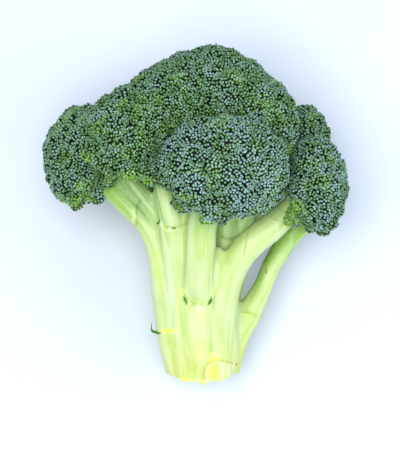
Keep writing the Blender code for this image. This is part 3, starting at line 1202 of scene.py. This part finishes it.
@dataclass(frozen=True)
class Bud:
    """One closed flower bud: a blunt egg of a few dozen faces, widest above its middle, with four sepals.

    Each ring is its height above the dome, its radius and how far up the bud it counts, in millimetres and
    from 0 to 1. Every second corner lies in the seam between two sepals.
    """

    rings: tuple[Place, ...] = ((-0.3, 0.48, 0.1), (0.34, 0.75, 0.5), (0.88, 0.62, 0.82))
    foot: float = -0.9
    top: float = 1.14
    seam: float = 0.86
    sides: int = 8

    def build(self, material: bpy.types.Material) -> bpy.types.Object:
        """Makes the bud that every floret repeats.

        Args:
            material: its finish.

        Returns:
            The bud, hidden from the render.
        """
        points = [(0.0, 0.0, self.foot)]
        tip = [0.0]
        for number, (height, radius, share) in enumerate(self.rings):
            for side in range(self.sides):
                angle = 2 * math.pi * side / self.sides + 0.12 * number
                reach = radius * (self.seam if side % 2 else 1.0)
                points.append((reach * math.cos(angle), reach * math.sin(angle), height))
                tip.append(share)
        points.append((0.0, 0.0, self.top))
        tip.append(1.0)
        last = len(points) - 1
        faces = []
        for side in range(self.sides):
            nxt = (side + 1) % self.sides
            faces.append((0, 1 + nxt, 1 + side))
            for ring in range(len(self.rings) - 1):
                a, b = 1 + ring * self.sides + side, 1 + ring * self.sides + nxt
                faces.append((a, b, a + self.sides))
                faces.append((b, b + self.sides, a + self.sides))
            faces.append((last - self.sides + side, last - self.sides + nxt, last))
        bud = new_piece("bud", np.array(points) * MM, faces, material)
        store(bud.data, "tip", np.array(tip))
        bud.hide_render = True
        return bud


MOST_BUDS = 2.2e7  # on a square metre: so many that only the spacing holds them apart


class BudInput(Enum):
    """The named inputs of the tree that sets buds on a dome."""

    BUD = ("Bud", "NodeSocketObject")
    SPACING = ("Bud spacing", "NodeSocketFloat")
    SEED = ("Seed", "NodeSocketInt")
    MATERIAL = ("Material", "NodeSocketMaterial")


def live(node: bpy.types.Node) -> bpy.types.NodeSocket:
    """The one output that a node's settings leave switched on."""
    return next(output for output in node.outputs if output.enabled)


def bud_tree() -> tuple[bpy.types.GeometryNodeTree, dict[BudInput, str]]:
    """Builds the tree that covers a dome with buds.

    Returns:
        The tree, and the identifier of each of its inputs.
    """
    tree = bpy.data.node_groups.new("buds_on_a_dome", "GeometryNodeTree")
    tree.interface.new_socket("Dome", in_out="INPUT", socket_type="NodeSocketGeometry")
    sockets = {}
    for wanted in BudInput:
        name, kind = wanted.value
        sockets[wanted] = tree.interface.new_socket(name, in_out="INPUT", socket_type=kind).identifier
    tree.interface.new_socket("Buds", in_out="OUTPUT", socket_type="NodeSocketGeometry")
    given = add_node(tree, "NodeGroupInput").outputs
    seed = given["Seed"]
    budded = add_node(tree, "GeometryNodeInputNamedAttribute", {"Name": "budded"}, data_type="FLOAT")
    spread = add_node(
        tree,
        "GeometryNodeDistributePointsOnFaces",
        {
            "Mesh": given["Dome"],
            "Distance Min": given["Bud spacing"],
            "Density Max": MOST_BUDS,
            "Density Factor": budded.outputs["Attribute"],
            "Seed": seed,
        },
        distribute_method="POISSON",
    )
    tint, sink, lean, size = (
        live(add_node(tree, "FunctionNodeRandomValue", limits, data_type=kind))
        for kind, limits in (
            ("FLOAT", {"Min": 0.0, "Max": 1.0, "Seed": seed}),
            ("FLOAT", {"Min": -0.35 * MM, "Max": 0.25 * MM, "Seed": 3}),
            ("FLOAT_VECTOR", {"Min": (-0.35, -0.35, 0.0), "Max": (0.35, 0.35, 6.28)}),
            ("FLOAT_VECTOR", {"Min": (0.84, 0.84, 0.85), "Max": (1.12, 1.12, 1.15), "Seed": 7}),
        )
    )
    tinted = add_node(
        tree,
        "GeometryNodeStoreNamedAttribute",
        {"Geometry": spread.outputs["Points"], "Name": "tint", "Value": tint},
        data_type="FLOAT",
        domain="POINT",
    )
    inputs = {0: spread.outputs["Normal"], "Scale": sink}
    shift = add_node(tree, "ShaderNodeVectorMath", inputs, operation="SCALE").outputs[0]
    moved = add_node(tree, "GeometryNodeSetPosition", {"Geometry": tinted.outputs[0], "Offset": shift})
    leaning = add_node(tree, "FunctionNodeEulerToRotation", {"Euler": lean}).outputs[0]
    inputs = {"Rotation": spread.outputs["Rotation"], "Rotate By": leaning}
    turned = add_node(tree, "FunctionNodeRotateRotation", inputs, rotation_space="LOCAL")
    bud = add_node(tree, "GeometryNodeObjectInfo", {"Object": given["Bud"]}).outputs["Geometry"]
    buds = add_node(
        tree,
        "GeometryNodeInstanceOnPoints",
        {"Points": moved.outputs[0], "Instance": bud, "Rotation": turned.outputs[0], "Scale": size},
    )
    real = add_node(tree, "GeometryNodeRealizeInstances", {"Geometry": buds.outputs[0]})
    inputs = {"Geometry": real.outputs[0], "Material": given["Material"]}
    dressed = add_node(tree, "GeometryNodeSetMaterial", inputs)
    add_node(tree, "NodeGroupOutput", {"Buds": dressed.outputs[0]})
    return tree, sockets


@dataclass(frozen=True)
class BudKit:
    """What every floret is made with: a bud to repeat, the tree that sets buds, and three finishes."""

    bud: bpy.types.Object
    tree: bpy.types.GeometryNodeTree
    sockets: dict[BudInput, str]
    bloom: bpy.types.Material
    flesh: bpy.types.Material
    skin: bpy.types.Material


@dataclass(frozen=True)
class Floret:
    """A dome of buds on forked stalklets, on the tip of the branch of the same name.

    Its middle, its half-widths and its knobs, each a middle and a radius, are in plan millimetres. A floret
    with a small blend keeps a deep crease between itself and its neighbours.
    """

    name: str
    centre: Place
    half: Place
    seed: int
    blend_mm: float = 13.0
    lobe_mm: float = 15.0
    cluster_mm: float = 7.6
    clump_mm: float = 4.2
    spacing_mm: float = 1.15
    wax: float = 0.5
    underside: float = 0.55
    under: Place | None = None
    detail: int = 6
    knobs: Run = ()

    def depth(self, points: np.ndarray) -> np.ndarray:
        """Measures points against this floret's own egg and its knobs.

        Args:
            points: plan points in millimetres.

        Returns:
            How far outside them each point is, in millimetres.
        """
        away = points - np.array(self.centre)
        near = np.linalg.norm(away / np.array(self.half), axis=-1)
        slope = np.linalg.norm(away / np.array(self.half) ** 2, axis=-1)
        return melted(near * (near - 1) / np.maximum(slope, 1e-9), self.knobbed(points), KNOB_BLEND_MM)

    def knobbed(self, points: np.ndarray) -> np.ndarray:
        """Measures points against the round fingers from the middle to each knob.

        Args:
            points: plan points in millimetres.

        Returns:
            How far outside them each point is, in millimetres.
        """
        best = np.full(points.shape[:-1], 1e3)
        away = points - np.array(self.centre)
        for *tip, radius in self.knobs:
            finger = np.array(tip) - np.array(self.centre)
            share = np.clip(away @ finger / (finger @ finger), 0, 1)[..., None]
            best = np.minimum(best, np.linalg.norm(away - share * finger, axis=-1) - radius)
        return best

    def down(self) -> np.ndarray:
        """The direction that the dome's open side faces: given, or to the branch that carries it."""
        return unit(np.array(self.under or self.branch()[-2, :3] - np.array(self.centre)))

    def branch(self) -> np.ndarray:
        """The run of the branch that carries this floret."""
        return np.array(next(stem.run for stem in STEMS if stem.name == "branch_" + self.name))

    def below(self, points: np.ndarray) -> np.ndarray:
        """How far points are below this floret's underside, in millimetres."""
        return (points - np.array(self.centre)) @ self.down() - self.underside * sum(self.half) / 3


FLORETS = (
    Floret(
        "front", (8, -34, 107), (31, 27, 26), seed=21, blend_mm=1.5, spacing_mm=1.18, wax=0.6,
        under=(-0.32, 0.38, -0.87), underside=0.56,
        knobs=(
            (-15.4, -40, 96.0, 3.2), (-13.3, -42, 92.1, 3.6), (-10.6, -43, 89.3, 3.9),
            (1.7, -44, 87.4, 4.2), (7.6, -44, 87.4, 4.0), (15.8, -43, 89.5, 3.6), (23.6, -41, 91.1, 3.8),
            (32.6, -37, 94.6, 3.2), (31.7, -34, 91.3, 3.1), (35.7, -31, 93.4, 3.1),
        ),
    ),
    Floret(
        "left", (-58.8, -1, 107.3), (18.3, 25, 25.2), seed=22, wax=0.45, under=(0.74, 0.1, -0.63),
        underside=0.56,
        knobs=(
            (-50.4, -12, 90.2, 3.2), (-48.8, -14, 94.1, 3.0), (-54.3, -10, 88.4, 3.5),
            (-59.7, -8, 87.9, 3.4), (-51.3, -21, 103.2, 4.0),
        ),
    ),
    Floret(
        "right", (52.2, -9, 95.2), (15.6, 25, 24.8), seed=23, blend_mm=6, wax=0.5,
        under=(-0.73, 0.1, -0.66), underside=0.62,
        knobs=(
            (39.7, -20, 81.2, 2.8), (43.4, -18.5, 80.2, 3.0), (44.7, -19, 84.1, 3.4),
            (52.1, -10, 75.9, 3.4),
        ),
    ),
    Floret("top_left", (-17.5, -8, 131.2), (21.4, 24, 20.2), seed=24, wax=0.35),
    Floret(
        "front_left", (-35.5, -18, 113.5), (22, 25, 29.5), seed=25, blend_mm=10, wax=0.35,
        under=(-0.3, 0.1, -0.95), underside=0.385, knobs=((-45.5, -20, 99.0, 3.2),),
    ),
    Floret("rear_right", (48.3, 19, 114.5), (14.6, 18, 16.4), seed=26, blend_mm=3, wax=0.4, detail=5),
    Floret(
        "low_right", (56.7, 4, 77.2), (9, 10, 9.5), seed=27, blend_mm=3, lobe_mm=8, cluster_mm=5,
        underside=0.5, detail=5,
    ),
    Floret("top", (3.2, 0, 136), (29.6, 32, 25), seed=28, wax=0.35),
    Floret("top_right", (25.5, -7, 123.8), (19.6, 24, 21.8), seed=29, wax=0.45),
    Floret("back", (3, 32, 109), (28, 24, 28), seed=30),
    Floret("back_left", (-36, 33, 108), (26, 25, 27), seed=31),
    Floret("back_right", (34, 33, 102), (24, 25, 25), seed=32),
    Floret("back_top", (-7, 24, 130), (28, 26, 25), seed=33),
)


@dataclass(frozen=True)
class Crown:
    """All the florets pressed together: where each one's surface runs and where it meets the others."""

    florets: tuple[Floret, ...] = FLORETS
    crease_mm: float = 1.1
    crease_wide_mm: float = 1.9
    rim_mm: float = 9.0
    apart_mm: float = 0.35  # how far a floret may reach past the middle of a crease
    farthest_mm: float = 60.0
    stride_mm: float = 2.0
    halvings: int = 7

    def share(self, own: int, points: np.ndarray) -> tuple[np.ndarray, np.ndarray, np.ndarray]:
        """Measures points against the whole crown.

        Args:
            own: the number of the floret that asks.
            points: plan points in millimetres.

        Returns:
            How far each point is outside the crown, whose eggs are blended into each other, how far it is
            into another floret's share, and how widely it blends with that one.
        """
        depths = np.stack([floret.depth(points) for floret in self.florets])
        blends = np.array([floret.blend_mm for floret in self.florets])
        nearest = depths.argmin(axis=0)
        low = depths.min(axis=0)
        blend = np.minimum(blends[:, None], blends[nearest][None])
        fill = np.maximum(blend - (depths - low), 0) ** 2 / (4 * blend)
        fill[nearest, np.arange(len(points))] = 0
        others = np.delete(depths, own, axis=0)
        pair = np.minimum(blends[own], np.delete(blends, own)[others.argmin(axis=0)])
        return low - fill.max(axis=0), (depths[own] - others.min(axis=0)) / 2, pair

    def outside(self, own: int, points: np.ndarray) -> np.ndarray:
        """Measures points against one floret's part of the crown, with its rim rounded over.

        Args:
            own: the number of the floret.
            points: plan points in millimetres.

        Returns:
            Roughly how far outside it each point is, in millimetres.
        """
        field, across, pair = self.share(own, points)
        field = field + self.crease_mm * (1 + 4 / (1 + pair)) * bell(across, self.crease_wide_mm)
        rounded = -melted(-field, -self.florets[own].below(points), self.rim_mm)
        knobbed = melted(rounded, self.florets[own].knobbed(points), KNOB_BLEND_MM)
        return np.maximum(knobbed, across - self.apart_mm)

    def reach(self, own: int, rays: np.ndarray) -> np.ndarray:
        """How far one floret's surface is from its middle, along each ray.

        Args:
            own: the number of the floret.
            rays: unit directions from its middle.

        Returns:
            The distances in millimetres.
        """
        centre = np.array(self.florets[own].centre)
        low, high = np.zeros(len(rays)), np.zeros(len(rays))
        inside = np.ones(len(rays), dtype=bool)
        while inside.any() and high.max() < self.farthest_mm:
            low = np.where(inside, high, low)
            high = np.where(inside, high + self.stride_mm, high)
            inside &= self.outside(own, centre + rays * high[:, None]) < 0
        for _ in range(self.halvings):
            middle = (low + high) / 2
            out = self.outside(own, centre + rays * middle[:, None]) > 0
            low, high = np.where(out, low, middle), np.where(out, middle, high)
        return (low + high) / 2


@dataclass(frozen=True)
class Lumps:
    """One size of round lump on a dome, in millimetres.

    Each has its height, how deep and how wide the crease round it is, and how far its height strays.
    """

    rise: float
    crease: float
    wide: float
    uneven: float


LOBES = Lumps(rise=0.7, crease=0.5, wide=2.2, uneven=0.35)
CLUSTERS = Lumps(rise=1.1, crease=0.5, wide=1.3, uneven=0.25)
CLUMPS = Lumps(rise=0.6, crease=0.3, wide=0.8, uneven=0.2)


@dataclass(frozen=True)
class Dome:
    """One floret's lumpy surface, the buds on it and the stalklets under it."""

    floret: Floret
    crown: Crown
    stalklet_count: int = 26
    golden_turn: float = 2.39996
    sunk_mm: float = 1.8
    table_gap_mm: float = 1.3

    def clusters(
        self, surface: np.ndarray, apart: float, chance: np.random.Generator
    ) -> tuple[np.ndarray, np.ndarray, np.ndarray]:
        """Splits a surface into round clusters that meet in creases.

        Args:
            surface: its points, in millimetres.
            apart: the least distance between two clusters' middles.
            chance: where random draws come from.

        Returns:
            How far each point is from its cluster's middle, how much further from the next one, and which
            cluster it is in.
        """
        left = np.ones(len(surface), dtype=bool)
        middles: list[np.ndarray] = []
        for pick in chance.permutation(len(surface)):
            if left[pick]:
                middles.append(surface[pick])
                left &= np.sum((surface - surface[pick]) ** 2, axis=1) > apart**2
        away = np.linalg.norm(surface[:, None, :] - np.array(middles)[None], axis=2)
        nearest = np.partition(away, 1, axis=1)[:, :2]
        return nearest[:, 0], nearest[:, 1] - nearest[:, 0], away.argmin(axis=1)

    def ball(self) -> bpy.types.Mesh:
        """Makes the evenly meshed ball that the surface is shaped from.

        Returns:
            A ball of radius 1.
        """
        work = bmesh.new()
        bmesh.ops.create_icosphere(work, subdivisions=self.floret.detail, radius=1.0)
        mesh = bpy.data.meshes.new("dome_" + self.floret.name)
        work.to_mesh(mesh)
        work.free()
        return mesh

    def lumpy(
        self, skin: np.ndarray, edges: np.ndarray, chance: np.random.Generator
    ) -> tuple[np.ndarray, np.ndarray]:
        """Raises lobes, clusters and clumps on a floret's surface.

        Args:
            skin: the surface's plan points, in millimetres.
            edges: the mesh's edges.
            chance: where random draws come from.

        Returns:
            How far each point rises, in millimetres, and how near it is to a crease between clusters.
        """
        rise = np.zeros(len(skin))
        for apart, lumps in (
            (self.floret.lobe_mm, LOBES),
            (self.floret.cluster_mm, CLUSTERS),
            (self.floret.clump_mm, CLUMPS),
        ):
            near, edge, which = self.clusters(skin, apart, chance)
            rise += lumps.rise * (1 - (near / (0.62 * apart)) ** 2) - lumps.crease * bell(edge, lumps.wide)
            stray = chance.uniform(-lumps.uneven, lumps.uneven, which.max() + 1)
            rise += smoothed(stray[which], edges, 2)
            if lumps is CLUSTERS:
                gap = bell(edge, 1.6)
        return smoothed(rise, edges, 1), gap

    def surface(self) -> bpy.types.Mesh:
        """Makes the lumpy surface that the buds sit on.

        Returns:
            The surface in the model's frame. Its attributes say where buds grow, how young and how waxy
            they are, and where the open underside is.
        """
        floret = self.floret
        own = self.crown.florets.index(floret)
        chance = np.random.default_rng(floret.seed)
        mesh = self.ball()
        rays, edges = unit(points_of(mesh)), edges_of(mesh)
        centre = np.array(floret.centre)
        reach = smoothed(self.crown.reach(own, rays), edges, 3)
        skin = centre + rays * reach[:, None]
        field, across, _ = self.crown.share(own, skin)
        below, knobbed, under = floret.below(skin), floret.knobbed(skin), rays @ floret.down()
        rise, gap = self.lumpy(skin, edges, chance)
        rise = rise * (1 + 0.6 * step_up(below, -9, -1)) - self.sunk_mm
        rise *= step_up(-across, -0.2, 2.0) * 0.8 + 0.2
        rise -= step_up(under, 0.62, 0.97) * step_up(knobbed, 0.5, 4) * 0.3 * reach
        points = POSE.place(centre + rays * (reach + rise)[:, None])
        points[:, 2] = np.maximum(points[:, 2], self.table_gap_mm * MM)
        put_points(mesh, points)
        ragged = smoothed(chance.normal(0, 0.6, len(rays)), edges, 8)
        seen = np.maximum(-rays[:, 1], 0)
        hanging = knobbed < 1.2
        budded = ((under + ragged < 0.6 + 0.25 * seen) & (field > -5.5)) | hanging
        store(mesh, "budded", budded.astype(float))
        patch = step_up(smoothed(chance.normal(0, 5.0, len(rays)), edges, 30), 0.0, 0.6)
        young = (0.25 + 0.5 * patch) * step_up(below, -14, -2) + 0.15 * gap + 0.42 * patch
        store(mesh, "young", (young * np.where(hanging, 0.6, 1)).clip(0, 1))
        cloud = smoothed(chance.normal(0, 4.0, len(rays)), edges, 20).clip(-1, 1)
        store(mesh, "wax", floret.wax + 0.25 * cloud)
        store(mesh, "below", step_up(under, 0.45, 0.7) * step_up(-across, 1.5, 5))
        return mesh

    def buds(self, dome: bpy.types.Mesh, kit: BudKit) -> bpy.types.Object:
        """Covers the dome with buds.

        Args:
            dome: the surface that they sit on.
            kit: what they are made with.

        Returns:
            The piece that holds all this floret's buds.
        """
        carrier = add_object("carrier", dome)
        cover = carrier.modifiers.new("buds", "NODES")
        cover.node_group = kit.tree
        for wanted, value in (
            (BudInput.BUD, kit.bud),
            (BudInput.SPACING, self.floret.spacing_mm * MM),
            (BudInput.SEED, self.floret.seed),
            (BudInput.MATERIAL, kit.bloom),
        ):
            cover[kit.sockets[wanted]] = value
        mesh = worked_out(carrier)
        mesh.name = f"floret_{self.floret.name}_buds"
        return add_object(mesh.name, mesh)

    def stalklets(self, material: bpy.types.Material) -> bpy.types.Object:
        """Makes the forked stalklets that fan out from the branch's tip into the dome.

        Args:
            material: their finish.

        Returns:
            The piece that holds them all.
        """
        floret = self.floret
        chance = np.random.default_rng(floret.seed + 500)
        own = self.crown.florets.index(floret)
        centre, down = np.array(floret.centre), floret.down()
        side = unit(np.cross(down, (0.3, 0.9, 0.1)))
        other = np.cross(down, side)
        tip, before = floret.branch()[[-1, -2]]
        back = before[:3] - tip[:3]
        axis = unit(-back)
        root = tip[:3] + unit(back) * min(10.0, np.linalg.norm(back) * 0.7)
        tubes = []
        for number in range(self.stalklet_count):
            turn = number * self.golden_turn + chance.uniform(-0.2, 0.2)
            steep = 0.3 + math.sqrt((number + 0.6) / self.stalklet_count)
            spread = math.sin(steep) * (math.cos(turn) * side + math.sin(turn) * other)
            ray = unit(spread + math.cos(steep) * down)
            goal = centre + ray * (self.crown.reach(own, ray[None])[0] * 0.86)
            start = root + (spread - axis * (spread @ axis)) * tip[3] * 0.45
            bend = start + axis * 5.0 + (goal - start - axis * 5.0) * 0.4
            run = tuple(
                (*place, radius)
                for place, radius in ((start - axis * 4, 2.2), (start, 1.9), (bend, 1.35), (goal, 1.1))
            )
            tubes.append(Stem("stalklet", run, floret.seed * 40 + number, 0.08, 10).swept(1.8))
        points, faces = joined(tubes)
        piece = new_piece(f"floret_{floret.name}_stalklets", POSE.place(points), faces, material)
        store(piece.data, "flesh", np.tile(linear("A9CC74")[:3], (len(points), 1)))
        store(piece.data, "grain", points)
        return piece

    def build(self, kit: BudKit) -> None:
        """Makes the floret's pieces: its buds, the flesh that carries them and its stalklets.

        Args:
            kit: what they are made with.
        """
        dome = self.surface()
        buds = self.buds(dome.copy(), kit)
        dome.materials.append(kit.flesh)
        dome.shade_smooth()
        dome.name = f"floret_{self.floret.name}_flesh"
        under = add_object(dome.name, dome)
        stalklets = self.stalklets(kit.skin)
        for piece, slot in ((buds, "flower_buds"), (under, "flower_buds"), (stalklets, "stalk_skin")):
            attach(piece, "root")
            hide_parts("floret_" + self.floret.name)
        count = sum(len(polygon.vertices) - 2 for polygon in buds.data.polygons)
        LOG.info("floret %s: %d triangles of buds", self.floret.name, count)


# ---------------------------------------------------------------------------------------------------
# Table, light and camera
# ---------------------------------------------------------------------------------------------------


@dataclass(frozen=True)
class Studio:
    """A pale table, a wide soft light overhead and a camera that looks down on the head."""

    lens_mm: float = 120.0
    distance: float = 0.72
    aim_mm: Place = (-1.92, -6.94, 75.8)
    above_front: float = math.radians(10.0)
    table_side: float = 12.0

    def table(self) -> None:
        """A broad matt white table top."""
        finish = {"Base Color": linear("CED4E1"), "Roughness": 0.9, "Specular IOR Level": 0.1}
        material = new_material("table_top", finish)[0]
        half = self.table_side / 2
        corners = np.array([(-half, -half, 0), (half, -half, 0), (half, half, 0), (-half, half, 0)])
        new_piece("table_top", corners, [(0, 1, 2, 3)], material)

    def camera(self) -> None:
        """The camera looks down at the front of the head, square to it but for a small tilt."""
        tilt = self.above_front
        back = POSE.turn(np.array([0, -math.cos(tilt), math.sin(tilt)]))
        up = POSE.turn(np.array([0, math.sin(tilt), math.cos(tilt)]))
        right = np.cross(up, back)
        place = POSE.place(np.array([self.aim_mm]))[0] + back * self.distance
        data = bpy.data.cameras.new("camera")
        data.lens = self.lens_mm
        data.sensor_fit = "VERTICAL"
        data.sensor_height = 36.0
        camera = add_object("camera", data)
        turn = Matrix((Vector(right), Vector(up), Vector(back))).transposed().to_4x4()
        camera.matrix_world = Matrix.Translation(Vector(place)) @ turn
        bpy.context.scene.camera = camera

    def lights(self) -> None:
        """A soft key from above, and bluish light from all round."""
        world = bpy.data.worlds.new("room")
        world.use_nodes = True
        sky = world.node_tree.nodes["Background"]
        sky.inputs["Color"].default_value = linear("D0E3FA")
        sky.inputs["Strength"].default_value = 0.88
        bpy.context.scene.world = world
        self.area("key", (-0.18, -0.24, 1.16), 0.8, 15.6, "FFF8EE")
        self.area("fill", (0.85, -0.15, 0.5), 0.7, 3.6, "F6F9FF")

    def area(self, name: str, place: Place, size: float, watts: float, colour: str) -> None:
        """Adds a square soft light that faces the head.

        Args:
            name: the light's name.
            place: where it is, in metres.
            size: its side, in metres.
            watts: its power.
            colour: its sRGB hex colour.
        """
        data = bpy.data.lights.new(name, "AREA")
        data.size = size
        data.energy = watts
        data.color = linear(colour)[:3]
        light = add_object(name, data)
        light.location = place
        light.rotation_mode = "QUATERNION"
        light.rotation_quaternion = (Vector((0, 0, 0.05)) - Vector(place)).to_track_quat("-Z", "Y")

    def build(self) -> None:
        """Sets the whole stage."""
        self.table()
        self.camera()
        self.lights()
        bpy.context.scene.view_settings.view_transform = "Standard"


def main() -> None:
    """Builds the head and its stage, in order."""
    logging.basicConfig(level=logging.INFO, format="%(message)s")
    Studio().build()
    skin = StalkSkin().make()
    surface = StalkBody().build(skin)
    LOG.info("stalk and branches")
    leaf = LeafSkin().make()
    for stub in LEAF_STUBS:
        stub.build(surface, leaf)
        LOG.info("leaf stub %s", stub.name)
    bloom = BudBloom().make()
    kit = BudKit(Bud().build(bloom), *bud_tree(), bloom, FloretFlesh().make(), skin)
    crown = Crown()
    for floret in crown.florets:
        Dome(floret, crown).build(kit)
    bpy.data.objects.remove(kit.bud)


if __name__ == "__main__":
    main()
